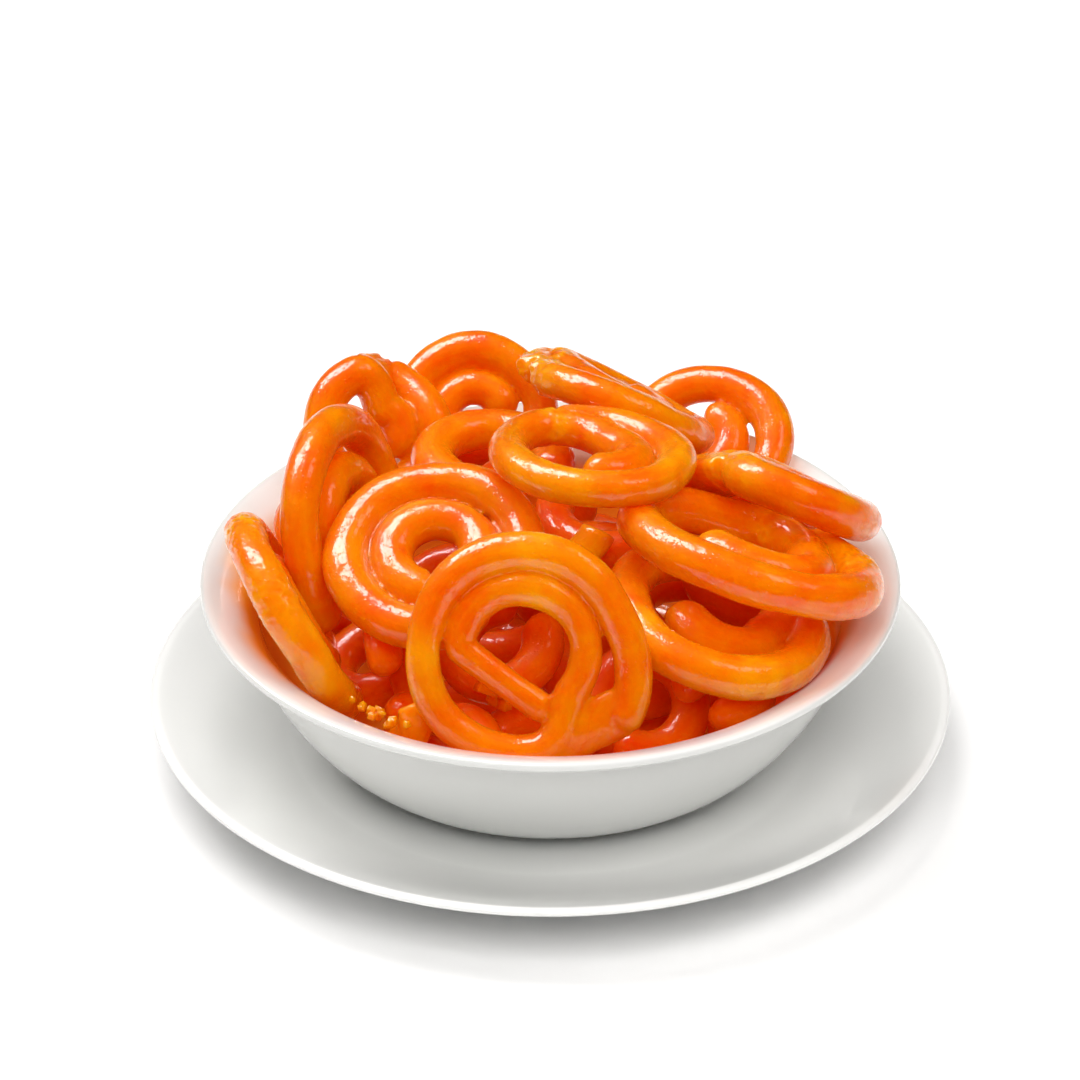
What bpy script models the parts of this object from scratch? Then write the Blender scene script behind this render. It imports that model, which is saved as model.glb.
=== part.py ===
"""Jalebis heaped in a round porcelain bowl that stands on its underplate.

Every jalebi is one strand of fried batter piped round and round into a flat coil. The coils lean on one
another and on the bowl. Sizes below are in millimetres and angles in degrees. The model itself is in metres,
with +Z up and the middle of the plate's foot at the origin.
"""

import math
from dataclasses import dataclass

import bpy

MM = 0.001

# The plate, by radius and height.
PLATE_FOOT_INNER = 48.0
PLATE_FOOT_OUTER = 52.0
PLATE_UNDERSIDE = 3.0
PLATE_WELL = 6.0
PLATE_WELL_RADIUS = 60.0
PLATE_RISE = 11.0
PLATE_RIM_RADIUS = 92.3
PLATE_RIM_HEIGHT = 16.6
PLATE_LIP_WIDTH = 3.3
PLATE_LIP_RISE = 1.0
FOOT_SLOPE = 0.3

# The bowl, by radius and height. Its foot stands on the plate's well.
STANDING_GAP = 0.3
BOWL_FOOT_INNER = 38.0
BOWL_FOOT_OUTER = 44.0
BOWL_FOOT_HEIGHT = 2.3
BOWL_SHOULDER_RADIUS = 70.5
BOWL_SHOULDER_HEIGHT = 42.0
BOWL_WALL = 3.2
BOWL_FLOOR = 11.5
BOWL_FLOOR_RADIUS = 40.0
BOWL_RIM_RADIUS = 80.0
BOWL_RIM_HEIGHT = 47.6

TURNING_STEPS = 32

# The strands. A jalebi may have its own thickness and gap.
STRAND_RADIUS = 4.6
TURN_GAP = 0.8
STATIONS_PER_TURN = 10
END_LENGTH = 0.6  # of a rounded-off end, in strand radii
END_TAPER = 0.7
BEGINNING_TURNS = 0.2
TOP_SIDES = 8
INNER_SIDES = 6


def material(name, colour, roughness, coat):
    made = bpy.data.materials.new(name)
    made.use_nodes = True
    shader = made.node_tree.nodes["Principled BSDF"]
    shader.inputs["Base Color"].default_value = (*colour, 1.0)
    shader.inputs["Metallic"].default_value = 0.0
    shader.inputs["Roughness"].default_value = roughness
    shader.inputs["Coat Weight"].default_value = coat
    return made


def smoothstep(share):
    share = min(max(share, 0.0), 1.0)
    return share * share * (3.0 - 2.0 * share)


# ---------------------------------------------------------------- bowl and plate, turned on a wheel


def turned(name, outline, surface):
    """A solid of revolution. The outline runs from the axis out over the top and down the outside."""
    mesh = bpy.data.meshes.new(name)
    points = [(radius * MM, 0.0, height * MM) for radius, height in outline]
    mesh.from_pydata(points, [(i, i + 1) for i in range(len(points) - 1)], [])
    mesh.materials.append(surface)
    piece = bpy.data.objects.new(name, mesh)
    bpy.context.scene.collection.objects.link(piece)
    screw = piece.modifiers.new("Turned", "SCREW")
    screw.axis = "Z"
    screw.steps = TURNING_STEPS
    screw.render_steps = TURNING_STEPS
    screw.use_merge_vertices = True
    screw.merge_threshold = 0.00001
    screw.use_smooth_shade = True
    return piece


def plate_outline():
    """A flat well, a flared border and a rolled lip, over a foot ring."""
    border_width = PLATE_RIM_RADIUS - PLATE_LIP_WIDTH - PLATE_WELL_RADIUS
    border = []
    for share in (0.0, 0.2, 0.4, 0.6, 0.8, 1.0):
        border.append((PLATE_WELL_RADIUS + border_width * share, PLATE_WELL + PLATE_RISE * share**1.3))
    lip = [
        (PLATE_RIM_RADIUS - 2.0, PLATE_RIM_HEIGHT + PLATE_LIP_RISE),
        (PLATE_RIM_RADIUS - 0.5, PLATE_RIM_HEIGHT + PLATE_LIP_RISE),
        (PLATE_RIM_RADIUS, PLATE_RIM_HEIGHT),
        (PLATE_RIM_RADIUS - 2.3, PLATE_RIM_HEIGHT - 1.6),
    ]
    underside = [(78.0, 10.0), (62.0, 4.0), (PLATE_FOOT_OUTER, PLATE_UNDERSIDE)]
    foot = [
        (PLATE_FOOT_OUTER - FOOT_SLOPE, 0.0),
        (PLATE_FOOT_INNER + FOOT_SLOPE, 0.0),
        (PLATE_FOOT_INNER, PLATE_UNDERSIDE),
        (0.0, PLATE_UNDERSIDE),
    ]
    return [(0.0, PLATE_WELL), *border, *lip, *underside, *foot]


def bowl_side(share):
    """The outside of the bowl, from its foot at 0 to its shoulder at 1: it bellies out, then rises steeply."""
    base = PLATE_WELL + STANDING_GAP + 0.5
    swell = 0.5 * (share * (2.0 - share) + share**0.35)
    radius = BOWL_FOOT_OUTER + (BOWL_SHOULDER_RADIUS - BOWL_FOOT_OUTER) * swell
    return radius, base + (BOWL_SHOULDER_HEIGHT - base) * share


def bowl_lining(share):
    """The point inside the wall that faces bowl_side(share), one wall's thickness in."""
    radius, height = bowl_side(share)
    radius_below, height_below = bowl_side(share - 0.01)
    along = math.hypot(radius - radius_below, height - height_below)
    return (
        radius - BOWL_WALL * (height - height_below) / along,
        height + BOWL_WALL * (radius - radius_below) / along,
    )


def bowl_outline():
    """A flat floor, a curved lining and a flared lip, over a foot ring."""
    floor = [(0.0, BOWL_FLOOR), (BOWL_FLOOR_RADIUS, BOWL_FLOOR)]
    lining = [bowl_lining(share) for share in (0.06, 0.14, 0.26, 0.41, 0.58, 0.76, 0.93)]
    lip = [
        (70.5, 44.3),
        (75.5, 46.6),
        (BOWL_RIM_RADIUS - 2.1, BOWL_RIM_HEIGHT),
        (BOWL_RIM_RADIUS - 0.7, BOWL_RIM_HEIGHT),
        (BOWL_RIM_RADIUS, BOWL_RIM_HEIGHT - 1.5),
        (78.0, 44.8),
        (76.0, 44.3),
        (72.0, 42.4),
    ]
    side = [bowl_side(share) for share in (1.0, 0.8, 0.6, 0.42, 0.26, 0.14, 0.05, 0.01)]
    foot_bottom = PLATE_WELL + STANDING_GAP
    foot = [
        (BOWL_FOOT_OUTER - 1.0, foot_bottom),
        (BOWL_FOOT_INNER + 0.5, foot_bottom),
        (BOWL_FOOT_INNER, foot_bottom + BOWL_FOOT_HEIGHT),
        (0.0, foot_bottom + BOWL_FOOT_HEIGHT),
    ]
    return [*floor, *lining, *lip, *side, *foot]


# ---------------------------------------------------------------- jalebis, piped strand by strand


@dataclass
class Coil:
    """One jalebi: a flat coil that keeps its radius for most of its first turn, then steps inward.

    It is laid out in its own XY plane, leans about its own X axis, and is then turned about the vertical.
    """

    name: str
    place: tuple  # the coil's middle in the bowl
    lean: float
    turn: float
    start: float  # the angle where the strand begins
    turns: float = 0.93
    outer: float = 13.5  # the radius of the strand's middle line in the first turn
    strand: float = STRAND_RADIUS
    thinned: float = 1.0  # the strand's thickness at its inner end, as a share of the rest
    gap: float = TURN_GAP  # between one turn and the next
    hand: int = -1  # 1 runs anticlockwise, -1 clockwise
    hold: float = 0.75  # the share of the first turn before the step inward
    tuck: float = 0.0  # how far the beginning hangs below the rest
    flare: float = 0.0  # how far the beginning stands out from the rest
    chord_angle: float = 0.0  # where the inner turn cuts straight across, and how far from the middle
    chord_distance: float = 0.0
    slide: tuple = (0.0, 0.0)  # how far the inner turn lies off centre
    oval: float = 1.0  # the length of the long way, and of the short way its inverse
    oval_angle: float = 0.0

    def angle(self, turn):
        return math.radians(self.start) + self.hand * math.tau * turn

    def radius(self, turn):
        """The middle line's radius. A coil of less than one turn has no step inward."""
        beginning = 1.0 - smoothstep(turn / BEGINNING_TURNS)
        if self.turns < 1.0:
            return self.outer + self.flare * beginning
        stepped = smoothstep((turn - self.hold) / (1.0 - self.hold))
        radius = self.outer + self.flare * beginning - (2.0 * self.strand + self.gap) * stepped
        facing = math.cos(self.angle(turn) - math.radians(self.chord_angle))
        if self.chord_distance > 0.0 and turn > 1.0 and facing > 0.0:
            radius = min(radius, self.chord_distance / facing)
        return radius

    def point(self, turn):
        radius = self.radius(turn)
        angle = self.angle(turn) - math.radians(self.oval_angle)
        long_way = radius * math.cos(angle) * self.oval
        short_way = radius * math.sin(angle) / self.oval
        cosine = math.cos(math.radians(self.oval_angle))
        sine = math.sin(math.radians(self.oval_angle))
        slid = smoothstep((turn - self.hold) / (1.0 - self.hold))
        return (
            long_way * cosine - short_way * sine + self.slide[0] * slid,
            long_way * sine + short_way * cosine + self.slide[1] * slid,
            -self.tuck * (1.0 - smoothstep(turn / BEGINNING_TURNS)),
        )

    def thickness(self, turn):
        return 1.0 - (1.0 - self.thinned) * smoothstep(turn / self.turns)

    def stations(self):
        """Where along the coil the section is placed: evenly, and once more close to each end."""
        near_start = END_LENGTH * self.strand / (math.tau * self.outer)
        near_end = END_LENGTH * self.strand / (math.tau * self.radius(self.turns))
        between = self.turns - near_start - near_end
        count = max(4, round(self.turns * STATIONS_PER_TURN))
        return [0.0, *(near_start + between * i / count for i in range(count + 1)), self.turns]


def jalebi(coil, sides, surface):
    """The strand as a curve with a round section, flat at its ends."""
    curve = bpy.data.curves.new(coil.name, "CURVE")
    curve.dimensions = "3D"
    curve.twist_mode = "Z_UP"
    curve.bevel_depth = coil.strand * MM
    curve.bevel_resolution = (sides - 4) // 2
    curve.use_fill_caps = True
    curve.materials.append(surface)
    stations = coil.stations()
    spline = curve.splines.new("POLY")
    spline.points.add(len(stations) - 1)
    spline.use_smooth = True
    for control, turn in zip(spline.points, stations):
        control.co = (*(value * MM for value in coil.point(turn)), 1.0)
        control.radius = coil.thickness(turn)
    spline.points[0].radius *= END_TAPER
    spline.points[-1].radius *= END_TAPER
    piece = bpy.data.objects.new(coil.name, curve)
    bpy.context.scene.collection.objects.link(piece)
    piece.location = [value * MM for value in coil.place]
    piece.rotation_euler = (math.radians(coil.lean), 0.0, math.radians(coil.turn))
    return piece


# The jalebis on top of the heap, from the front round to the left and the back, then to the right.
TOP_COILS = [
    Coil(
        "front_jalebi", (-6.0, -51.5, 58.7), 65.0, 0.0, 321.0, turns=1.9, outer=22.3, strand=4.1,
        thinned=0.78, gap=-0.1, hand=1, hold=0.88, flare=4.4, chord_angle=234.4, chord_distance=7.6,
    ),
    Coil(
        "left_middle_jalebi", (-25.5, -18.0, 63.5), 23.0, -7.0, 340.0, turns=1.83, outer=20.4,
        strand=4.8, hand=1, hold=0.84,
    ),
    Coil(
        "left_tall_jalebi", (-46.5, 5.0, 56.5), 76.0, 71.0, 212.0, turns=1.7, outer=24.0, strand=4.3,
        gap=2.2, hold=0.7,
    ),
    Coil(
        "upper_left_jalebi", (-40.5, 47.0, 59.0), 61.0, 21.0, 64.0, turns=1.4, outer=13.7, strand=3.8,
        gap=1.2, hold=0.9, tuck=8.6,
    ),
    Coil(
        "back_top_jalebi", (-18.0, 62.0, 53.5), 49.0, 0.0, 280.0, turns=1.78, outer=16.2, strand=4.1,
        gap=0.9,
    ),
    Coil("back_flat_jalebi", (-13.0, 30.5, 60.0), 2.0, 60.0, 267.0, outer=14.0, strand=4.8, hand=1),
    Coil(
        "top_leaning_jalebi", (16.0, 41.0, 70.5), 35.8, 131.5, 60.0, turns=1.7, outer=19.3,
        strand=4.2, gap=0.6, hand=1, hold=0.82, tuck=3.0,
    ),
    Coil(
        "centre_flat_jalebi", (9.0, -1.5, 80.0), 9.0, 153.0, 254.0, turns=1.75, outer=19.1, strand=4.5,
        gap=0.6,
    ),
    Coil(
        "right_back_jalebi", (36.5, 53.0, 51.0), 34.0, -17.0, 265.0, turns=1.52, outer=16.4,
        strand=4.2, gap=0.6, hand=1, slide=(-1.8, 0.0),
    ),
    Coil(
        "right_tilted_jalebi", (53.2, 6.5, 66.2), 35.0, 140.0, 40.0, turns=1.6, outer=18.5, strand=4.8,
        hold=0.82, tuck=5.5,
    ),
    Coil(
        "right_large_jalebi", (44.5, -20.4, 65.3), 21.0, 126.0, 247.0, turns=1.75, outer=23.1,
        strand=4.9, gap=2.2, hold=0.8, slide=(-1.2, -1.4), oval=1.12, oval_angle=-131.0,
    ),
    Coil(
        "right_front_jalebi", (37.6, -28.6, 53.8), 17.0, 72.0, 270.0, turns=1.5, outer=21.0,
        strand=4.8, gap=2.4, hold=0.8, slide=(-0.9, -1.6),
    ),
    Coil(
        "left_wall_jalebi", (-57.8, -20.2, 48.5), 63.6, 105.0, 252.0, turns=1.7, outer=21.8,
        strand=4.5, gap=1.2, hold=0.7,
    ),
]

# Smaller ones and broken pieces that show between those on top.
INNER_COILS = [
    Coil("small_front_jalebi", (21.5, -33.5, 34.0), 49.0, 8.0, 196.0, turns=0.92, outer=10.3, strand=4.2),
    Coil("small_right_jalebi", (44.0, -23.0, 28.5), 26.0, -69.0, 248.0, turns=0.92, outer=8.7, strand=4.3),
    Coil("middle_low_jalebi", (14.5, -12.5, 30.0), 8.0, 90.0, 312.0, turns=0.92, outer=13.7, strand=4.8),
    Coil("left_low_jalebi", (-34.5, -25.5, 37.0), 70.0, 92.0, 150.0, turns=0.92, outer=10.8, strand=4.2),
    Coil("middle_flat_jalebi", (7.0, 4.0, 46.0), 9.0, -104.0, 309.0, turns=0.92, outer=13.8),
    Coil("left_back_jalebi", (-52.0, 23.5, 37.0), 59.0, 71.0, 159.0, turns=0.92, outer=13.4, strand=4.3),
    Coil("small_back_jalebi", (52.0, 29.0, 49.0), 26.0, 60.0, 163.0, turns=0.92, outer=6.5, strand=4.0),
    Coil("broken_left_piece", (-33.5, -46.0, 41.0), 83.0, -59.0, 48.0, turns=0.4, outer=5.3, strand=3.7),
    Coil("broken_middle_piece", (-4.5, -1.5, 69.5), 51.0, -22.0, 348.0, turns=0.22, outer=17.4, strand=3.6),
]

# Plain ones that fill the bowl below and carry the rest.
LOWER_COILS = [
    Coil("base_back_jalebi", (3.5, 29.0, 17.0), 2.0, -21.0, 21.0, strand=4.5, hand=1),
    Coil("base_left_jalebi", (-19.5, -18.5, 17.0), 1.0, 105.0, 257.0, strand=4.5, hand=1),
    Coil("base_right_jalebi", (15.5, -9.5, 18.0), 5.0, 87.0, 281.0, strand=4.5, hand=1),
    Coil("lower_right_jalebi", (33.0, 20.5, 24.0), 10.0, 64.0, 309.0, outer=13.4, hand=1),
    Coil("lower_back_left_jalebi", (-24.0, 31.0, 23.0), 21.0, -65.0, 43.0, outer=11.4, hand=1),
    Coil("lower_front_jalebi", (-4.0, -40.5, 24.0), 16.0, 0.0, 0.0, outer=10.4, hand=1),
    Coil("lower_back_jalebi", (5.5, 42.0, 30.5), 16.0, 158.0, 222.0, outer=13.4, hand=1),
    Coil("inner_right_jalebi", (45.5, 13.5, 34.0), 20.0, 107.0, 287.0, outer=10.4, hand=1),
    Coil("inner_middle_jalebi", (-13.0, 8.5, 30.5), 13.0, 10.0, 352.0, outer=11.4, hand=1),
    Coil("lower_left_jalebi", (-40.5, -2.0, 25.0), 24.0, -65.0, 40.0, outer=9.6, strand=4.4, hand=1),
    Coil("low_front_left_jalebi", (-21.0, -45.5, 30.0), 30.0, -40.0, 200.0, outer=6.6, strand=4.2, hand=1),
    Coil("low_front_right_jalebi", (38.5, -38.5, 41.7), 24.0, 45.0, 200.0, outer=7.5, strand=4.4, hand=1),
    Coil("under_centre_jalebi", (13.0, 6.5, 59.0), 6.0, 20.0, 120.0, outer=12.5, strand=4.4, hand=1),
    Coil("inner_left_jalebi", (-11.5, -21.5, 42.0), 35.0, -20.0, 80.0, outer=10.0, strand=4.4, hand=1),
    Coil("inner_back_jalebi", (-4.5, 36.0, 45.5), 10.0, 20.0, 80.0, outer=11.0, strand=4.4, hand=1),
]


# ---------------------------------------------------------------- the whole


def build():
    for old in list(bpy.data.objects):
        bpy.data.objects.remove(old, do_unlink=True)
    porcelain = material("white porcelain", (0.86, 0.85, 0.82), roughness=0.12, coat=0.6)
    syrupy = material("syrupy orange crust", (0.85, 0.24, 0.01), roughness=0.2, coat=0.8)
    soaked = material("deep orange crust", (0.60, 0.07, 0.005), roughness=0.3, coat=0.5)
    turned("plate", plate_outline(), porcelain)
    turned("bowl", bowl_outline(), porcelain)
    for coil in TOP_COILS:
        jalebi(coil, TOP_SIDES, syrupy)
    for coil in INNER_COILS + LOWER_COILS:
        jalebi(coil, INNER_SIDES, soaked)


build()
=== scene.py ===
"""A porcelain bowl heaped with jalebis, standing on its underplate. Lengths are in metres where they go to
Blender, and in millimetres in the recipes for each piece."""

import math
from dataclasses import dataclass

import bpy
import mathutils
import numpy as np
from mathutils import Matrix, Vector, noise


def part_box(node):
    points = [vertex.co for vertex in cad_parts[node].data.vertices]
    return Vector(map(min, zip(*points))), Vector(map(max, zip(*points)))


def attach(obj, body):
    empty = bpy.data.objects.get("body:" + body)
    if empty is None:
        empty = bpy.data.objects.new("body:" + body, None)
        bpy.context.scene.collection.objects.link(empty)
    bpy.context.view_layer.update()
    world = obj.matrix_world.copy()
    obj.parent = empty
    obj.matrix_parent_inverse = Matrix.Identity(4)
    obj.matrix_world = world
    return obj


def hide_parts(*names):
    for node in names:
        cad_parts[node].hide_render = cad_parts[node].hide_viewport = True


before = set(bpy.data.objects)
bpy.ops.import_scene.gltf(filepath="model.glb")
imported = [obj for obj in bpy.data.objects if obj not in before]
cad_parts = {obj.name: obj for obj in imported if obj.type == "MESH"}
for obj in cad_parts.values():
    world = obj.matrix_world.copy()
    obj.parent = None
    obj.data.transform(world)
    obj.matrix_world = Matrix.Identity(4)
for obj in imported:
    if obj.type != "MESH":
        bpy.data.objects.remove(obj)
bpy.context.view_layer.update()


# ---------------------------------------------------------------- plate
# The underplate is glazed white porcelain, turned on a wheel: a flat well, a flared border that ends in a
# rolled lip, and a foot ring that it stands on.

MM = 0.001
TURNING_STEPS = 144


def mottle(tree, place, scale, detail=2.0, roughness=0.5, distortion=0.0):
    """Uneven patches over the points of place, about as many to the metre as scale says."""
    patches = tree.nodes.new("ShaderNodeTexNoise")
    patches.inputs["Scale"].default_value = scale
    patches.inputs["Detail"].default_value = detail
    patches.inputs["Roughness"].default_value = roughness
    patches.inputs["Distortion"].default_value = distortion
    tree.links.new(place, patches.inputs["Vector"])
    return patches.outputs["Fac"]


def two_tones(tree, share, first, second):
    """A colour that goes from the first (share, colour) to the second."""
    ramp = tree.nodes.new("ShaderNodeValToRGB")
    for end, (position, colour) in zip(ramp.color_ramp.elements, (first, second)):
        end.position = position
        end.color = (*colour, 1.0)
    tree.links.new(share, ramp.inputs["Fac"])
    return ramp.outputs["Color"]


def raised(tree, height, strength, depth, over=None):
    """Fine relief up to depth metres deep, laid over other relief where there is some."""
    relief = tree.nodes.new("ShaderNodeBump")
    relief.inputs["Strength"].default_value = strength
    relief.inputs["Distance"].default_value = depth
    tree.links.new(height, relief.inputs["Height"])
    if over is not None:
        tree.links.new(over, relief.inputs["Normal"])
    return relief.outputs["Normal"]


def glaze(name, white, grey):
    """White glaze over porcelain: nearly even, with faint clouding, and a surface that isn't quite flat."""
    made = bpy.data.materials.new(name)
    made.use_nodes = True
    tree = made.node_tree
    shader = tree.nodes["Principled BSDF"]
    place = tree.nodes.new("ShaderNodeTexCoord").outputs["Object"]
    clouding = mottle(tree, place, 22.0, detail=3.0)
    tree.links.new(two_tones(tree, clouding, (0.3, grey), (0.7, white)), shader.inputs["Base Color"])
    waves = mottle(tree, place, 60.0, detail=1.0)
    tree.links.new(raised(tree, waves, 0.04, 0.0005), shader.inputs["Normal"])
    shader.inputs["Roughness"].default_value = 0.18
    shader.inputs["Coat Weight"].default_value = 0.5
    shader.inputs["Coat Roughness"].default_value = 0.04
    return made


def turned(name, outline, surface):
    """A solid of revolution from (radius, height) pairs that run from the axis over the top and down."""
    radius = np.array([point[0] for point in outline])
    height = np.array([point[1] for point in outline])
    angle = np.linspace(0.0, math.tau, TURNING_STEPS, endpoint=False)
    ring = slice(1, len(outline) - 1)
    points = np.stack(
        [
            np.outer(np.cos(angle), radius[ring]),
            np.outer(np.sin(angle), radius[ring]),
            np.tile(height[ring], (TURNING_STEPS, 1)),
        ],
        axis=2,
    ).reshape(-1, 3)
    across = len(outline) - 2
    verts = np.vstack([points, [0.0, 0.0, height[0]], [0.0, 0.0, height[-1]]]) * MM
    first, last = len(points), len(points) + 1
    faces = []
    for step in range(TURNING_STEPS):
        here, there = step * across, (step + 1) % TURNING_STEPS * across
        faces.append((first, here, there))
        for i in range(across - 1):
            faces.append((here + i, here + i + 1, there + i + 1, there + i))
        faces.append((last, there + across - 1, here + across - 1))
    mesh = bpy.data.meshes.new(name)
    mesh.from_pydata(verts.tolist(), [], faces)
    mesh.materials.append(surface)
    mesh.shade_smooth()
    piece = bpy.data.objects.new(name, mesh)
    bpy.context.scene.collection.objects.link(piece)
    return piece


def rounded(corners):
    """The outline with each inner corner replaced by a short arc. A corner is (radius, height, rounding)."""
    outline = [corners[0][:2]]
    for before, corner, after in zip(corners, corners[1:], corners[2:]):
        middle = np.array(corner[:2])
        if corner[2] == 0.0:
            outline.append(tuple(middle))
            continue
        back = np.array(before[:2]) - middle
        ahead = np.array(after[:2]) - middle
        reach_back = middle + back / np.hypot(*back) * min(corner[2], 0.49 * np.hypot(*back))
        reach_ahead = middle + ahead / np.hypot(*ahead) * min(corner[2], 0.49 * np.hypot(*ahead))
        for t in np.linspace(0.0, 1.0, 6):
            outline.append(tuple((1 - t) ** 2 * reach_back + 2 * t * (1 - t) * middle + t * t * reach_ahead))
    outline.append(corners[-1][:2])
    return outline


_, plate_high = (np.array(corner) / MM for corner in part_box("plate"))
PLATE_RIM = plate_high[0]
PLATE_LIP_TOP = plate_high[2]
PLATE_WELL = 6.0
PLATE_WELL_RADIUS = 60.0
PLATE_FOOT_OUTER = 52.0
PLATE_FOOT_INNER = 48.0
PLATE_UNDERSIDE = 3.0

border = []
for share in np.linspace(0.0, 1.0, 24):
    border.append((
        PLATE_WELL_RADIUS + (PLATE_RIM - 3.3 - PLATE_WELL_RADIUS) * share,
        PLATE_WELL + 11.0 * share**1.3,
        0.0,
    ))
plate_corners = [
    (0.0, PLATE_WELL, 0.0),
    (30.0, PLATE_WELL, 0.0),
    *border,
    (PLATE_RIM - 2.0, PLATE_LIP_TOP, 0.8),
    (PLATE_RIM - 0.45, PLATE_LIP_TOP, 0.8),
    (PLATE_RIM, PLATE_LIP_TOP - 1.0, 0.8),
    (PLATE_RIM - 2.3, PLATE_LIP_TOP - 2.6, 1.2),
    (78.0, 10.0, 6.0),
    (62.0, 4.0, 4.0),
    (PLATE_FOOT_OUTER, PLATE_UNDERSIDE, 0.6),
    (PLATE_FOOT_OUTER - 0.3, 0.0, 0.5),
    (PLATE_FOOT_INNER + 0.3, 0.0, 0.5),
    (PLATE_FOOT_INNER, PLATE_UNDERSIDE, 0.6),
    (0.0, PLATE_UNDERSIDE, 0.0),
]
# The plate and the bowl are one porcelain; this glaze is painted whiter than the bowl's, as painted light on
# the plate.
white_glaze = glaze("white_glaze", (0.90, 0.90, 0.885), (0.865, 0.87, 0.85))
plate = turned("glazed_plate", rounded(plate_corners), white_glaze)
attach(plate, "root")
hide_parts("plate")


# ---------------------------------------------------------------- bowl
# The bowl is of the same porcelain, turned and glazed: a low foot, a bellied side and a lip that flares out
# and is rolled over. It stands on the plate by its foot. Its inside carries a painted orange glow of light
# bounced from the jalebis, reaching higher up at the left, where a jalebi leans on the wall.

bowl_low, bowl_high = (np.array(corner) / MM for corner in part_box("bowl"))
BOWL_RIM = bowl_high[0]
BOWL_TOP = bowl_high[2]
BOWL_FOOT_BOTTOM = bowl_low[2]
BOWL_FOOT_OUTER = 44.0
BOWL_FOOT_INNER = 38.0
BOWL_SHOULDER = (70.5, 42.0)
BOWL_WALL = 3.2
BOWL_FLOOR = 11.5
BOWL_FLARE = ((70.2, 44.0), (75.3, BOWL_TOP - 1.0))  # (radius, height), where the lining turns outwards


def bowl_side(share):
    """The outside of the bowl, from its foot at 0 to its shoulder at 1."""
    base = BOWL_FOOT_BOTTOM + 0.5
    swell = 0.5 * (share * (2.0 - share) + share**0.35)
    radius = BOWL_FOOT_OUTER + (BOWL_SHOULDER[0] - BOWL_FOOT_OUTER) * swell
    return radius, base + (BOWL_SHOULDER[1] - base) * share


def bowl_lining(share):
    """The inside of the wall, one wall's thickness in from bowl_side(share)."""
    radius, height = bowl_side(share)
    radius_below, height_below = bowl_side(share - 0.01)
    along = math.hypot(radius - radius_below, height - height_below)
    return (
        radius - BOWL_WALL * (height - height_below) / along,
        height + BOWL_WALL * (radius - radius_below) / along,
    )


lining = [(*bowl_lining(share), 0.0) for share in np.linspace(0.08, 0.93, 28)]
side = [(*bowl_side(share), 0.0) for share in np.linspace(0.98, 0.03, 36)]
bowl_corners = [
    (0.0, BOWL_FLOOR, 0.0),
    (30.0, BOWL_FLOOR, 0.0),
    (41.5, BOWL_FLOOR, 5.0),
    *lining,
    *((*corner, 2.0) for corner in BOWL_FLARE),
    (BOWL_RIM - 1.9, BOWL_TOP, 1.0),
    (BOWL_RIM - 0.4, BOWL_TOP, 1.0),
    (BOWL_RIM, BOWL_TOP - 1.4, 1.0),
    (BOWL_RIM - 1.6, BOWL_TOP - 2.7, 1.0),
    (BOWL_RIM - 4.2, BOWL_TOP - 3.2, 1.5),
    (71.6, 42.6, 1.5),
    *side,
    (BOWL_FOOT_OUTER - 0.4, BOWL_FOOT_BOTTOM, 0.5),
    (BOWL_FOOT_INNER + 0.5, BOWL_FOOT_BOTTOM, 0.5),
    (BOWL_FOOT_INNER, BOWL_FOOT_BOTTOM + 2.3, 0.8),
    (0.0, BOWL_FOOT_BOTTOM + 2.3, 0.0),
]


def reckoned(tree, operation, *terms):
    """A sum or product of the terms, each a socket or a plain number."""
    reckoning = tree.nodes.new("ShaderNodeMath")
    reckoning.operation = operation
    for socket, term in zip(reckoning.inputs, terms):
        if isinstance(term, float):
            socket.default_value = term
        else:
            tree.links.new(term, socket)
    return reckoning.outputs[0]


def stretched(tree, value, low, high, least=0.0, most=1.0, eased=True):
    """The value, least where it is low and most where it is high."""
    span = tree.nodes.new("ShaderNodeMapRange")
    span.interpolation_type = "SMOOTHSTEP" if eased else "LINEAR"
    span.inputs["From Min"].default_value = low
    span.inputs["From Max"].default_value = high
    span.inputs["To Min"].default_value = least
    span.inputs["To Max"].default_value = most
    tree.links.new(value, span.inputs["Value"])
    return span.outputs["Result"]


def marked(tree, mark, output):
    """What the mesh says of each point under the name mark."""
    reader = tree.nodes.new("ShaderNodeAttribute")
    reader.attribute_name = mark
    return reader.outputs[output]


def tinted(tree, share, plain, tint):
    """The plain colour, gone over to the tint by the share."""
    blend = tree.nodes.new("ShaderNodeMix")
    blend.data_type = "RGBA"
    blend.inputs["B"].default_value = (*tint, 1.0)
    tree.links.new(share, blend.inputs["Factor"])
    tree.links.new(plain, blend.inputs["A"])
    return blend.outputs["Result"]


def paint_bounce_glow(glazed):
    """Painted orange glow of light bounced from the jalebis, over the glaze where the mesh is marked as
    inside, up to a wandering edge, higher at the left.
    """
    tree = glazed.node_tree
    base_colour = tree.nodes["Principled BSDF"].inputs["Base Color"]
    place = tree.nodes.new("ShaderNodeTexCoord").outputs["Object"]
    parts = tree.nodes.new("ShaderNodeSeparateXYZ")
    tree.links.new(place, parts.inputs["Vector"])
    level = reckoned(tree, "MULTIPLY_ADD", parts.outputs["X"], 0.08, parts.outputs["Z"])
    wandering = reckoned(tree, "MULTIPLY_ADD", mottle(tree, place, 40.0), 0.006, level)
    glow_reach = stretched(tree, wandering, 0.0437, 0.0400)
    share = reckoned(tree, "MULTIPLY", glow_reach, marked(tree, "inside", "Fac"))
    bare = base_colour.links[0].from_socket
    # The orange tint is painted bounce light from the jalebis.
    tree.links.new(tinted(tree, share, bare, (0.92, 0.42, 0.03)), base_colour)


# The bowl's glaze is a darker copy of the plate's, as painted shade, and carries the painted bounce glow on
# its inside.
shaded_glowing_glaze = glaze("shaded_glowing_glaze", (0.77, 0.775, 0.755), (0.735, 0.74, 0.72))
paint_bounce_glow(shaded_glowing_glaze)

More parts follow.
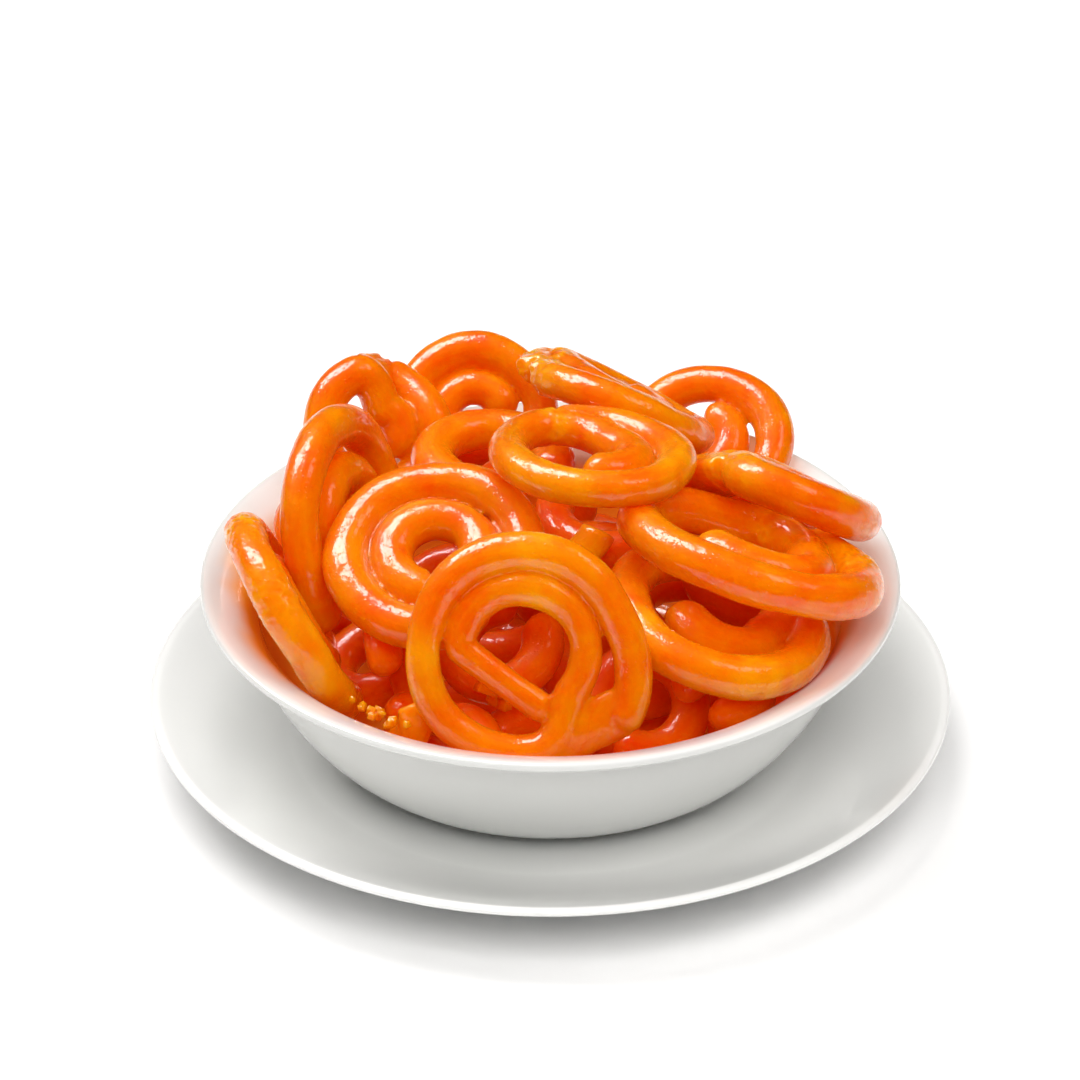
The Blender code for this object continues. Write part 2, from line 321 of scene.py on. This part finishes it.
bowl = turned("glazed_bowl", rounded(bowl_corners), shaded_glowing_glaze)
bowl_points = np.empty(len(bowl.data.vertices) * 3)
bowl.data.vertices.foreach_get("co", bowl_points)
bowl_points = bowl_points.reshape(-1, 3) / MM
inner_wall = np.array([*(bowl_lining(share) for share in np.linspace(0.08, 0.93, 60)), *BOWL_FLARE])
wall_middle = np.interp(bowl_points[:, 2], inner_wall[:, 1], inner_wall[:, 0]) + 0.5 * BOWL_WALL
within_wall = np.hypot(bowl_points[:, 0], bowl_points[:, 1]) < wall_middle
inside = within_wall & (bowl_points[:, 2] > BOWL_FLOOR - 0.5)
inside_mark = bowl.data.attributes.new("inside", "FLOAT", "POINT")
inside_mark.data.foreach_set("value", inside.astype(np.float32))
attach(bowl, "root")
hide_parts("bowl")


# ---------------------------------------------------------------- jalebis
# Each jalebi is one strand of batter, piped round into a flat coil, fried crisp and soaked in syrup. Strands
# are uneven, their turns stick together, and syrup lies over them as a wet coat. They are heaped loosely,
# whole ones on top, small ones and broken ends between them, and more underneath.


@dataclass
class Coil:
    """One jalebi: a flat coil that keeps its radius for most of its first turn, then steps inward."""

    name: str
    lean: float  # degrees from lying flat
    turn: float  # degrees about the vertical
    start: float  # where round the coil the strand begins, in degrees
    turns: float = 0.93
    outer: float = 13.5  # the first turn's radius, to the strand's middle
    strand: float = 4.6  # half the strand's thickness
    thinned: float = 1.0  # its thickness at the far end, as a share of that at the beginning
    gap: float = 0.8  # between one turn and the next
    hand: int = -1  # 1 if piped anticlockwise, -1 if clockwise
    hold: float = 0.75  # the share of the first turn that keeps its radius
    tuck: float = 0.0  # how far the beginning dips under the rest
    flare: float = 0.0  # how far the beginning stands out
    chord_angle: float = 0.0  # where a straight stretch cuts across the inner turn, if the distance isn't 0
    chord_distance: float = 0.0
    slide: tuple = (0.0, 0.0)  # how far the inner turn lies off centre
    oval: float = 1.0
    oval_angle: float = 0.0
    flat: float = 0.95  # the section's height, as a share of its width
    plump: float = 1.08  # how much the strand swells in the syrup
    softened: int = 4  # how many times its crevices are softened
    sooner: float = 0.0  # how many turns ahead of the coil's own start the strand begins
    longer: float = 0.0  # how many turns past the coil's own end it goes on, or stops short if negative
    blunt: float = 0.85  # how long its rounded ends are, as a share of half its thickness
    swells: tuple = ()  # (turn, spread, factor) where the strand is fuller or thinner
    webs: tuple = ()  # (turn, turn, thickness) of syrup set between two turns
    bubbly: tuple = ()  # (turn, spread) where the crust is blistered
    thin_glow: tuple = ()  # (turn, spread) where the crust is thin and painted yellower, as glow of light shining through it

    def angle(self, turn):
        """Where round the coil the strand is at this turn, in radians."""
        return np.radians(self.start) + self.hand * math.tau * turn

    def radius(self, turn):
        """How far the strand's middle line is from the coil's centre at this turn."""
        beginning = 1.0 - smoothstep(turn / 0.2)
        radius = self.outer + self.flare * beginning
        if self.turns < 1.0:
            return radius
        radius = radius - (2.0 * self.strand + self.gap) * smoothstep((turn - self.hold) / (1.0 - self.hold))
        if self.chord_distance > 0.0:
            facing = np.cos(self.angle(turn) - math.radians(self.chord_angle))
            straight = self.chord_distance / np.maximum(facing, 0.05)
            radius = np.where((turn > 1.0) & (facing > 0.0), np.minimum(radius, straight), radius)
        return radius

    def path(self, turn):
        """Points along the strand's middle line, for an array of turns, in the coil's own plane."""
        radius = self.radius(turn)
        angle = self.angle(turn) - math.radians(self.oval_angle)
        long_way = radius * np.cos(angle) * self.oval
        short_way = radius * np.sin(angle) / self.oval
        cosine = math.cos(math.radians(self.oval_angle))
        sine = math.sin(math.radians(self.oval_angle))
        slid = smoothstep((turn - self.hold) / (1.0 - self.hold))
        return np.stack(
            [
                long_way * cosine - short_way * sine + self.slide[0] * slid,
                long_way * sine + short_way * cosine + self.slide[1] * slid,
                -self.tuck * (1.0 - smoothstep(turn / 0.2)),
            ],
            axis=1,
        )

    def leaning(self):
        """The rotation that leans the flat coil up and then turns it about the vertical."""
        lean, turn = math.radians(self.lean), math.radians(self.turn)
        about_x = [[1, 0, 0], [0, math.cos(lean), -math.sin(lean)], [0, math.sin(lean), math.cos(lean)]]
        about_z = [[math.cos(turn), -math.sin(turn), 0], [math.sin(turn), math.cos(turn), 0], [0, 0, 1]]
        return np.array(about_z) @ np.array(about_x)


def smoothstep(share):
    """Eases from 0 to 1 as the share does."""
    share = np.clip(share, 0.0, 1.0)
    return share * share * (3.0 - 2.0 * share)


def lumps(points, size, seed, waves=14):
    """Smooth random unevenness at the points, about one high and one low in each size, from -1 to 1."""
    dice = np.random.default_rng(seed)
    ways = dice.normal(size=(waves, 3))
    ways /= np.linalg.norm(ways, axis=1)[:, None]
    lengths = dice.uniform(0.7, 1.5, waves) * size
    phases = dice.uniform(0.0, math.tau, waves)
    total = np.zeros(points.shape[:-1])
    for way, length, phase in zip(ways, lengths, phases):
        total += np.sin(points @ way * (math.tau / length) + phase)
    return total / math.sqrt(waves * 2.0)


def tube(tips, centre, sideways, upward, width, height, sides):
    """Vertices and faces of a closed tube: a ring round each point of centre, and the two tips."""
    around = np.linspace(0.0, math.tau, sides, endpoint=False)
    rings = (
        centre[:, None, :]
        + sideways[:, None, :] * (np.cos(around)[None, :] * width[:, None])[:, :, None]
        + upward[:, None, :] * (np.sin(around)[None, :] * height[:, None])[:, :, None]
    )
    rows = len(centre)
    index = np.arange(rows * sides).reshape(rows, sides)
    nexts = np.roll(index, -1, axis=1)
    faces = np.stack([index[:-1], nexts[:-1], nexts[1:], index[1:]], axis=2).reshape(-1, 4).tolist()
    faces += [(rows * sides, b, a) for a, b in zip(index[0], nexts[0])]
    faces += [(rows * sides + 1, a, b) for a, b in zip(index[-1], nexts[-1])]
    return np.vstack([rings.reshape(-1, 3), tips]), faces


STRAND_STEP = 0.7
STRAND_SIDES = 28
END_RINGS = 7


def piped_strand(coil, seed):
    """The strand as it leaves the bag: a tube along the coil, fuller here, thinner there, with round ends."""
    fine = np.linspace(-coil.sooner, coil.turns + coil.longer, 900)
    rough = coil.path(fine)
    travelled = np.concatenate([[0.0], np.cumsum(np.linalg.norm(np.diff(rough, axis=0), axis=1))])
    length = travelled[-1]
    cap = coil.strand * coil.blunt
    dome = cap * (1.0 - np.cos(np.linspace(0.0, math.pi / 2, END_RINGS)))[1:-1]
    body = np.arange(cap, length - cap, STRAND_STEP)
    along = np.concatenate([[0.0], dome, body, length - dome[::-1], [length]])
    turn = np.interp(along, travelled, fine)
    centre = np.stack([np.interp(along, travelled, smoothed(rough[:, axis])) for axis in range(3)], axis=1)
    ahead = np.gradient(centre, along, axis=0)
    ahead /= np.linalg.norm(ahead, axis=1)[:, None]
    sideways = np.cross(ahead, (0.0, 0.0, 1.0))
    sideways /= np.linalg.norm(sideways, axis=1)[:, None]
    upward = np.cross(sideways, ahead)
    from_end = np.minimum(along, length - along)
    closing = np.sqrt(np.clip(1.0 - (1.0 - np.minimum(from_end / cap, 1.0)) ** 2, 0.0, 1.0))
    thick = coil.strand * coil.plump * (1.0 - (1.0 - coil.thinned) * smoothstep(turn / coil.turns))
    for spot, spread, factor in coil.swells:
        thick = thick * (1.0 + (factor - 1.0) * np.exp(-(((turn - spot) / spread) ** 2)))
    line = np.stack([along, np.zeros_like(along), np.zeros_like(along)], axis=1)
    thick = thick * (1.0 + 0.04 * lumps(line, 19.0, seed) + 0.012 * lumps(line, 7.0, seed + 1))
    ease = smoothstep(from_end / 6.0)
    centre = centre + sideways * (0.3 * lumps(line, 26.0, seed + 2) * ease)[:, None]
    centre = centre + upward * (0.35 * lumps(line, 22.0, seed + 3) * ease)[:, None]
    ring = slice(1, -1)
    verts, faces = tube(
        centre[[0, -1]], centre[ring], sideways[ring], upward[ring],
        (thick * closing)[ring], (thick * closing * coil.flat)[ring], STRAND_SIDES,
    )
    return verts, faces, centre, along, turn


def smoothed(values):
    """The values with sharp bends in them eased over their near neighbours."""
    spread = np.exp(-np.linspace(-2.0, 2.0, 25) ** 2)
    padded = np.pad(values, 12, mode="reflect", reflect_type="odd")
    return np.convolve(padded, spread / spread.sum(), mode="valid")


def fused(name, verts, faces, grain, rounds):
    """The skin round everything in the mesh, its crevices softened as where wet strands stick together."""
    rough = bpy.data.meshes.new(name + "_rough")
    rough.from_pydata((verts * MM).tolist(), [], faces)
    holder = bpy.data.objects.new(name + "_rough", rough)
    bpy.context.scene.collection.objects.link(holder)
    skin = holder.modifiers.new("skin", "REMESH")
    skin.mode = "VOXEL"
    skin.voxel_size = grain * MM
    skin.adaptivity = 0.0
    soften = holder.modifiers.new("soften", "SMOOTH")
    soften.factor = 0.5
    soften.iterations = rounds
    mesh = bpy.data.meshes.new_from_object(holder.evaluated_get(bpy.context.evaluated_depsgraph_get()))
    mesh.name = name
    bpy.data.objects.remove(holder)
    bpy.data.meshes.remove(rough)
    return mesh


BLISTER_SIZE = 1.9
POINTS_AT_A_TIME = 4000
WEB_RINGS = 10
WEB_SIDES = 16
WEB_SPREAD = 2.2


def web_of_syrup(ends, thickness):
    """Vertices and faces of a flat bar of set syrup from one turn of a coil to the next."""
    row = ends[0] + (ends[1] - ends[0]) * np.linspace(0.0, 1.0, WEB_RINGS + 2)[:, None]
    way = (ends[1] - ends[0]) / np.linalg.norm(ends[1] - ends[0])
    across = np.tile(np.cross(way, (0.0, 0.0, 1.0)), (WEB_RINGS, 1))
    upward = np.tile((0.0, 0.0, 1.0), (WEB_RINGS, 1))
    full = np.full(WEB_RINGS, thickness)
    return tube(row[[0, -1]], row[1:-1], across, upward, full * WEB_SPREAD, full, WEB_SIDES)


def strand_mesh(coil, seed, middle, grain):
    """One jalebi: its strand with its turns fused, and the crust's unevenness and blisters raised on it."""
    verts, faces, centre, along, turn = piped_strand(coil, seed)
    for start, end, thickness in coil.webs:
        ends = np.stack([np.interp([start, end], turn, centre[:, axis]) for axis in range(3)], axis=1)
        web, web_faces = web_of_syrup(ends, thickness)
        faces += [tuple(np.array(face) + len(verts)) for face in web_faces]
        verts = np.vstack([verts, web])
    mesh = fused(coil.name, verts, faces, grain, coil.softened)
    count = len(mesh.vertices)
    points = np.empty(count * 3)
    mesh.vertices.foreach_get("co", points)
    points = points.reshape(-1, 3) / MM
    normals = np.empty(count * 3)
    mesh.vertices.foreach_get("normal", normals)
    normals = normals.reshape(-1, 3)

    nearest = np.zeros(count, int)
    for first in range(0, count, POINTS_AT_A_TIME):
        block = slice(first, first + POINTS_AT_A_TIME)
        gaps = ((points[block, None, :] - centre[None, :, :]) ** 2).sum(axis=2)
        nearest[block] = gaps.argmin(axis=1)
    offset = points - centre[nearest]
    ahead = np.gradient(centre, along, axis=0)[nearest]
    sideways = np.cross(ahead, (0.0, 0.0, 1.0))
    sideways /= np.linalg.norm(sideways, axis=1)[:, None]
    # The crust's streaks follow the strand, ten times as long as they are wide.
    piped = np.stack([
        along[nearest] * 0.1 + (offset * ahead).sum(axis=1) * 0.1,
        (offset * sideways).sum(axis=1),
        offset[:, 2],
    ], axis=1) + seed * 7.0
    blistered = np.zeros(count)
    for spot, spread in coil.bubbly:
        blistered = np.maximum(blistered, np.exp(-(((turn[nearest] - spot) / spread) ** 2)))
    blistered *= np.clip(0.75 + 0.9 * lumps(points, 5.0, seed + 8), 0.0, 1.0)
    pocks = np.array([
        noise.voronoi(point / BLISTER_SIZE)[0][0] if amount > 0.03 else 0.0
        for point, amount in zip(points, blistered)
    ])
    # Blisters are paler crust; the thin places are painted yellower, as glow of light shining through them.
    yellow_and_glow = 0.5 * blistered
    for spot, spread in coil.thin_glow:
        yellow_and_glow = np.maximum(yellow_and_glow, 0.6 * np.exp(-(((turn[nearest] - spot) / spread) ** 2)))
    yellow_and_glow *= np.clip(0.8 + 0.5 * lumps(points, 7.0, seed + 9), 0.0, 1.0)
    relief = 0.05 * lumps(points, 6.0, seed + 4) + 0.02 * lumps(points, 2.6, seed + 5)
    relief = relief + blistered * (1.0 * pocks - 0.45)
    points = points + normals * relief[:, None]
    points = (points @ coil.leaning().T + middle) * MM
    mesh.vertices.foreach_set("co", points.ravel())
    mesh.update()
    mesh.shade_smooth()
    straightened = mesh.attributes.new("piped", "FLOAT_VECTOR", "POINT")
    straightened.data.foreach_set("vector", (piped * MM).astype(np.float32).ravel())
    yellow_and_glow_marks = mesh.attributes.new("yellow_and_glow", "FLOAT", "POINT")
    yellow_and_glow_marks.data.foreach_set("value", yellow_and_glow.astype(np.float32))
    return mesh


def syrup_crust(name, deep, bright, yellow_and_glow_colour):
    """Fried batter full of syrup: orange that light soaks into and partly passes, with a wet coat on top."""
    made = bpy.data.materials.new(name)
    made.use_nodes = True
    tree = made.node_tree
    shader = tree.nodes["Principled BSDF"]
    place = tree.nodes.new("ShaderNodeTexCoord").outputs["Object"]
    streaks = mottle(tree, marked(tree, "piped", "Vector"), 420.0, detail=4.0)
    clouds = mottle(tree, place, 85.0, detail=3.0, distortion=0.6)
    depth_of_colour = reckoned(tree, "MULTIPLY_ADD", streaks, 0.35, reckoned(tree, "MULTIPLY", clouds, 0.65))
    orange = two_tones(tree, depth_of_colour, (0.36, deep), (0.66, bright))
    # Paler where blistered, and a painted glow of light shining through where the crust is thin.
    crust = tinted(tree, marked(tree, "yellow_and_glow", "Fac"), orange, yellow_and_glow_colour)
    tree.links.new(crust, shader.inputs["Base Color"])

    grains = tree.nodes.new("ShaderNodeTexVoronoi")
    grains.inputs["Scale"].default_value = 900.0
    tree.links.new(place, grains.inputs["Vector"])
    sugar = stretched(tree, grains.outputs["Distance"], 0.34, 0.08)
    unevenness = mottle(tree, place, 430.0)
    relief = raised(tree, unevenness, 0.5, 0.0002)
    relief = raised(tree, mottle(tree, place, 1250.0), 0.7, 0.00007, relief)
    relief = raised(tree, sugar, 0.6, 0.00008, relief)
    tree.links.new(relief, shader.inputs["Normal"])
    tree.links.new(relief, shader.inputs["Coat Normal"])
    crackle = mottle(tree, place, 1150.0, detail=4.0, roughness=0.6)
    dryness = reckoned(tree, "MULTIPLY_ADD", unevenness, 0.55, crackle)
    wetness = stretched(tree, dryness, 0.66, 0.74, least=0.12, eased=False)
    tree.links.new(wetness, shader.inputs["Coat Weight"])
    shader.inputs["Roughness"].default_value = 0.4
    shader.inputs["Specular IOR Level"].default_value = 0.1
    shader.inputs["Subsurface Weight"].default_value = 1.0
    shader.inputs["Subsurface Radius"].default_value = (1.0, 0.6, 0.03)
    shader.inputs["Subsurface Scale"].default_value = 0.009
    shader.inputs["Coat Roughness"].default_value = 0.02
    shader.inputs["Coat IOR"].default_value = 1.5

    # Lamp light also goes on through the strands, coloured by the syrup, so that those below are lit warmly.
    lit_through = tree.nodes.new("ShaderNodeBsdfTransparent")
    lit_through.inputs["Color"].default_value = (0.60, 0.30, 0.03, 1.0)
    from_lamp = tree.nodes.new("ShaderNodeLightPath")
    either = tree.nodes.new("ShaderNodeMixShader")
    tree.links.new(from_lamp.outputs["Is Shadow Ray"], either.inputs["Fac"])
    tree.links.new(shader.outputs["BSDF"], either.inputs[1])
    tree.links.new(lit_through.outputs["BSDF"], either.inputs[2])
    tree.links.new(either.outputs["Shader"], tree.nodes["Material Output"].inputs["Surface"])
    return made


top_crust = syrup_crust("syrupy_crust", (0.74, 0.100, 0.0), (0.76, 0.222, 0.0), (0.84, 0.37, 0.002))
# A darker, redder copy of the crust for the jalebis deep in the heap and in its gaps: painted shade.
shaded_crust = syrup_crust("soaked_crust", (0.76, 0.085, 0.0), (0.78, 0.155, 0.0), (0.84, 0.32, 0.002))

# After its name each coil gives its lean, turn, start, turns, outer, strand, thinned, gap, hand and hold, in
# that order, as far as they are given without a name.
TOP_COILS = [
    Coil("front_jalebi", 65, 0, 321, 1.9, 22.3, 4.1, 0.78, -0.1, 1, 0.88, flare=4.4, chord_angle=234.4,
         chord_distance=7.6, plump=1.05, longer=0.035,
         webs=((0.9, 0.03, 2.6), (1.3, 0.33, 2.2), (1.42, 0.44, 1.8)),
         swells=((0.36, 0.1, 1.12), (0.61, 0.1, 0.93), (0.86, 0.1, 1.08), (1.36, 0.1, 1.15)),
         thin_glow=((0.33, 0.07), (1.3, 0.06), (0.62, 0.05))),
    Coil("left_middle_jalebi", 23, -7, 340, 1.83, 20.4, 4.8, hand=1, hold=0.84, plump=1.05, softened=2),
    Coil("left_tall_jalebi", 76, 71, 212, 1.7, 24.0, 4.3, gap=2.2, hold=0.7, plump=1.12),
    Coil("upper_left_jalebi", 61, 21, 64, 1.4, 13.7, 3.8, gap=1.2, hold=0.9, tuck=8.6, plump=1.18,
         webs=((0.0, 0.9, 3.2), (0.03, 0.93, 3.0))),
    Coil("back_top_jalebi", 49, 0, 280, 1.78, 16.2, 4.1, gap=0.9, plump=1.04),
    Coil("back_flat_jalebi", 2, 60, 267, outer=14.0, strand=4.8, hand=1),
    Coil("top_leaning_jalebi", 35.8, 131.5, 60, 1.7, 19.3, 4.2, gap=0.6, hand=1, hold=0.82, tuck=3.0,
         webs=((0.0, 0.85, 3.6), (0.05, 0.8, 3.4), (0.1, 0.75, 3.2), (0.15, 0.7, 3.2), (0.2, 0.65, 3.0),
               (0.27, 0.6, 3.0), (0.0, 0.95, 3.4)),
         bubbly=((0.0, 0.06), (0.9, 0.06)), thin_glow=((0.05, 0.05),)),
    Coil("centre_flat_jalebi", 9, 153, 254, 1.75, 19.1, 4.5, gap=0.6, plump=1.0, sooner=0.2, longer=-0.33,
         bubbly=((-0.2, 0.04), (0.8, 0.04)), thin_glow=((0.47, 0.1), (0.2, 0.06))),
    Coil("right_back_jalebi", 34, -17, 265, 1.52, 16.4, 4.2, gap=0.6, hand=1, slide=(-1.8, 0.0)),
    Coil("right_tilted_jalebi", 35, 140, 40, 1.6, 18.5, 4.8, hold=0.82, tuck=5.5,
         webs=((0.04, 0.9, 4.0), (0.09, 0.92, 4.0), (0.13, 0.87, 3.6)),
         bubbly=((0.97, 0.09), (0.1, 0.07)), thin_glow=((0.9, 0.08),)),
    Coil("right_large_jalebi", 21, 126, 247, 1.75, 23.1, 4.9, gap=2.2, hold=0.8, slide=(-1.2, -1.4),
         oval=1.12, oval_angle=-131, sooner=0.13, longer=-0.24,
         bubbly=((0.0, 0.03), (0.82, 0.03)), thin_glow=((1.5, 0.05),)),
    Coil("right_front_jalebi", 17, 72, 270, 1.5, 21.0, 4.8, gap=2.4, hold=0.8, slide=(-0.9, -1.6), sooner=0.1,
         longer=-0.03, thin_glow=((0.13, 0.08), (0.35, 0.05))),
    Coil("left_wall_jalebi", 63.6, 105, 252, 1.7, 21.8, 4.5, gap=1.2, hold=0.7,
         bubbly=((0.5, 0.06), (0.33, 0.04)), thin_glow=((0.2, 0.2),)),
]
INNER_COILS = [
    Coil("small_front_jalebi", 49, 8, 196, 0.92, 10.3, 4.2),
    Coil("small_right_jalebi", 26, -69, 248, 0.92, 8.7, 4.3),
    Coil("middle_low_jalebi", 8, 90, 312, 0.92, 13.7, 4.8),
    Coil("left_low_jalebi", 70, 92, 150, 0.92, 10.8, 4.2),
    Coil("middle_flat_jalebi", 9, -104, 309, 0.92, 13.8, 4.6),
    Coil("left_back_jalebi", 59, 71, 159, 0.92, 13.4, 4.3),
    Coil("small_back_jalebi", 26, 60, 163, 0.92, 6.5, 4.0),
    Coil("broken_left_piece", 83, -59, 48, 0.4, 5.3, 3.7, blunt=0.18, softened=1,
         bubbly=((0.0, 0.1), (0.4, 0.1)), thin_glow=((0.2, 0.3),)),
    Coil("broken_middle_piece", 51, -22, 348, 0.22, 17.4, 3.6, blunt=0.15, softened=1, plump=1.15,
         thin_glow=((0.1, 0.3),)),
]
LOWER_COILS = [
    Coil("base_back_jalebi", 2, -21, 21, outer=13.5, strand=4.5, hand=1),
    Coil("base_left_jalebi", 1, 105, 257, outer=13.5, strand=4.5, hand=1),
    Coil("base_right_jalebi", 5, 87, 281, outer=13.5, strand=4.5, hand=1),
    Coil("lower_right_jalebi", 10, 64, 309, outer=13.4, hand=1),
    Coil("lower_back_left_jalebi", 21, -65, 43, outer=11.4, hand=1),
    Coil("lower_front_jalebi", 16, 0, 0, outer=10.4, hand=1),
    Coil("lower_back_jalebi", 16, 158, 222, outer=13.4, hand=1),
    Coil("inner_right_jalebi", 20, 107, 287, outer=10.4, hand=1),
    Coil("inner_middle_jalebi", 13, 10, 352, outer=11.4, hand=1),
    Coil("lower_left_jalebi", 24, -65, 40, outer=9.6, strand=4.4, hand=1),
    Coil("low_front_left_jalebi", 30, -40, 200, outer=6.6, strand=4.2, hand=1),
    Coil("low_front_right_jalebi", 24, 45, 200, outer=7.5, strand=4.4, hand=1),
    Coil("under_centre_jalebi", 6, 20, 120, outer=12.5, strand=4.4, hand=1),
    Coil("inner_left_jalebi", 35, -20, 80, outer=10.0, strand=4.4, hand=1),
    Coil("inner_back_jalebi", 10, 20, 80, outer=11.0, strand=4.4, hand=1),
]

SEEN_CLOSE = 0.5  # the fineness of the skin, in millimetres, on the jalebis on top
SEEN_IN_GAPS = 0.85  # and on those of which only parts show

for number, coil in enumerate(TOP_COILS + INNER_COILS + LOWER_COILS):
    low, high = (np.array(corner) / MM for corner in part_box(coil.name))
    swept = coil.path(np.linspace(0.0, coil.turns, 400)) @ coil.leaning().T
    middle = (low + high) / 2.0 - (swept.min(axis=0) + swept.max(axis=0)) / 2.0
    on_top = number < len(TOP_COILS)
    mesh = strand_mesh(coil, 100 + 20 * number, middle, SEEN_CLOSE if on_top else SEEN_IN_GAPS)
    broken = coil.name.startswith("broken")
    mesh.materials.append(top_crust if on_top or broken else shaded_crust)
    jalebi = bpy.data.objects.new("crisp_" + coil.name, mesh)
    bpy.context.scene.collection.objects.link(jalebi)
    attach(jalebi, "root")
    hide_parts(coil.name)


# ---------------------------------------------------------------- crumbs
# Crumbs and flakes of crust that broke off the jalebis: angular bits, wet with syrup. The crumbs are caught
# behind the bowl's front lip at the left, and the two flakes lie in the hole of the front jalebi.

SMALLEST_FLAKE = 3.0
CUBE = np.array([(x, y, z) for x in (-1, 1) for y in (-1, 1) for z in (-1, 1)], float)
CUBE_FACES = [(0, 1, 3, 2), (4, 6, 7, 5), (0, 4, 5, 1), (2, 3, 7, 6), (0, 2, 6, 4), (1, 5, 7, 3)]
CRUMBS = [  # place, size
    ((-39.0, -50.5, 42.0), 2.3),
    ((-35.4, -53.2, 41.6), 1.9),
    ((-41.8, -47.6, 42.2), 1.4),
    ((-37.2, -52.4, 43.4), 1.1),
    ((-31.9, -55.6, 42.2), 1.3),
    ((-44.0, -46.0, 43.0), 1.0),
    ((-14.0, -39.0, 42.5), 5.0),
    ((-11.4, -38.2, 39.8), 4.2),
]
for number, (place, size) in enumerate(CRUMBS):
    name = f"crumb_{number + 1}"
    flake = size >= SMALLEST_FLAKE
    dice = np.random.default_rng(900 + number)
    verts, faces = np.zeros((0, 3)), []
    for _ in range(3 if flake else 5):
        facing, _ = np.linalg.qr(dice.normal(size=(3, 3)))
        if np.linalg.det(facing) < 0.0:
            facing[:, 0] *= -1.0
        half_sides = size * dice.uniform(0.25, 0.55, 3)
        spot = size * dice.uniform(-0.38, 0.38, 3)
        faces += [tuple(len(verts) + corner for corner in face) for face in CUBE_FACES]
        verts = np.vstack([verts, (CUBE * half_sides) @ facing.T + spot])
    mesh = fused(name, verts, faces, 0.3 if flake else 0.16, 3)
    mesh.transform(mathutils.Matrix.Translation([axis * MM for axis in place]))
    mesh.materials.append(top_crust)
    mesh.shade_smooth()
    yellow_and_glow_marks = mesh.attributes.new("yellow_and_glow", "FLOAT", "POINT")
    yellow_and_glow_marks.data.foreach_set("value", np.full(len(mesh.vertices), 0.0 if flake else 0.3, np.float32))
    crumb = bpy.data.objects.new(name, mesh)
    bpy.context.scene.collection.objects.link(crumb)
    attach(crumb, "root")


# ---------------------------------------------------------------- setting
# A pale sweep of paper to stand on. The broad soft key light is above, behind and to the left, and fill light
# comes from the right and from in front. The sheens are seen only as reflections, in the glaze and the syrup.

floor_mesh = bpy.data.meshes.new("floor")
floor_mesh.from_pydata([(-4, -4, 0), (4, -4, 0), (4, 4, 0), (-4, 4, 0)], [], [(0, 1, 2, 3)])
floor = bpy.data.objects.new("floor", floor_mesh)
bpy.context.scene.collection.objects.link(floor)
paper = bpy.data.materials.new("pale_paper")
paper.use_nodes = True
paper_tree = paper.node_tree
paper_shader = paper_tree.nodes["Principled BSDF"]
fibre = paper_tree.nodes.new("ShaderNodeTexNoise")
fibre.inputs["Scale"].default_value = 3.0
white = two_tones(paper_tree, fibre.outputs["Fac"], (0.0, (0.90, 0.90, 0.90)), (1.0, (0.93, 0.93, 0.93)))
paper_tree.links.new(white, paper_shader.inputs["Base Color"])
paper_shader.inputs["Roughness"].default_value = 0.9
paper_shader.inputs["Specular IOR Level"].default_value = 0.1
floor_mesh.materials.append(paper)

MIDDLE_OF_HEAP = np.array([0.0, 0.0, 0.055])
LIGHT_DISTANCE = 1.5


def softbox(name, toward, width, depth, radiance, colour):
    """A rectangular light that faces the heap from the direction toward."""
    toward = np.array(toward) / np.linalg.norm(toward)
    lamp = bpy.data.lights.new(name, "AREA")
    lamp.shape = "RECTANGLE"
    lamp.size, lamp.size_y = width, depth
    lamp.energy = radiance * math.pi * width * depth
    lamp.color = colour
    holder = bpy.data.objects.new(name, lamp)
    holder.location = MIDDLE_OF_HEAP + toward * LIGHT_DISTANCE
    across = np.cross((0.0, 1.0, 0.0), toward)
    across /= np.linalg.norm(across)
    up = np.cross(toward, across)
    holder.rotation_euler = mathutils.Matrix(np.array([across, up, toward]).T.tolist()).to_euler()
    bpy.context.scene.collection.objects.link(holder)
    return holder


softbox("key_light", (-0.40, 0.30, 0.87), 1.3, 0.85, 5.6, (1.0, 0.98, 0.97))
fill_light = softbox("fill_light", (0.50, -0.12, 0.86), 1.0, 0.8, 2.6, (1.0, 0.98, 0.96))
front_fill = softbox("front_fill", (0.05, -0.62, 0.78), 1.2, 0.8, 5.6, (1.0, 0.99, 0.98))
for fill in (fill_light, front_fill):
    fill.visible_glossy = False
for sheen in (
    softbox("key_sheen", (-0.42, 0.30, 0.86), 1.2, 0.7, 9.0, (1.0, 0.97, 0.96)),
    softbox("side_sheen", (0.58, -0.05, 0.81), 0.45, 0.6, 3.0, (1.0, 0.9, 0.8)),
):
    sheen.visible_diffuse = False
    sheen.visible_transmission = False

sky = bpy.data.worlds.new("room")
sky.use_nodes = True
sky.node_tree.nodes["Background"].inputs["Color"].default_value = (1.0, 1.0, 1.0, 1.0)
sky.node_tree.nodes["Background"].inputs["Strength"].default_value = 0.06
sky.cycles_visibility.glossy = False
bpy.context.scene.world = sky

camera = bpy.data.cameras.new("camera")
camera.lens = 200.0
camera.sensor_width = 36.0
camera.clip_start, camera.clip_end = 0.05, 20.0
viewer = bpy.data.objects.new("camera", camera)
viewer.location = (-0.002354, -1.16850, 0.75930)
viewer.rotation_euler = (math.radians(58.983), 0.0, 0.0)
bpy.context.scene.collection.objects.link(viewer)
bpy.context.scene.camera = viewer
bpy.context.scene.view_settings.view_transform = "Standard"
bpy.context.scene.cycles.transparent_max_bounces = 5

bpy.context.view_layer.update()
